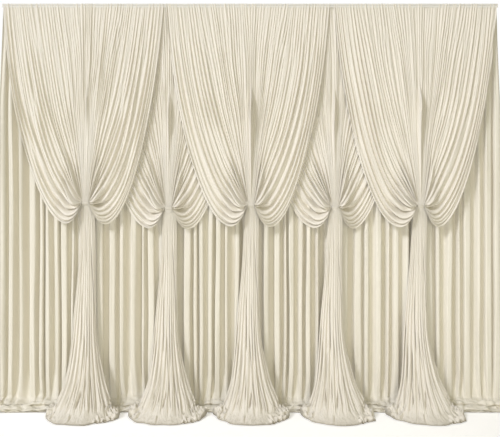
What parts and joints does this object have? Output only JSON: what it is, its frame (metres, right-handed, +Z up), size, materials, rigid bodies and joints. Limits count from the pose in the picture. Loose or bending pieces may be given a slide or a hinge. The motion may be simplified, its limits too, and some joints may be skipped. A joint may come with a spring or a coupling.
{
  "type": "backdrop curtain",
  "caption": "Wide ivory backdrop curtain: a pleated back sheet with overlapping swag panels drawn in at pinches, their tails spreading on the floor, all sewn into a flat heading.",
  "frame": {"origin": "middle of the heading's top edge, where the curtain is held up", "axes": "+X along the heading to the right seen from the front, +Y to the back, +Z up"},
  "size_m": [3.67, 0.5109, 2.957],
  "materials": {
    "heading_knit": "flat folded ivory knit binding, matt",
    "back_knit": "soft ivory knit in vertical pleats, matt with a faint sheen",
    "swag_knit": "soft ivory knit in gathered folds, matt with a faint sheen"
  },
  "bodies": {
    "root": {"heading_band": "heading_knit", "back_sheet": "back_knit", "swag_1": "swag_knit", "swag_2": "swag_knit", "swag_3": "swag_knit", "swag_4": "swag_knit", "swag_5": "swag_knit"}
  },
  "joints": []
}
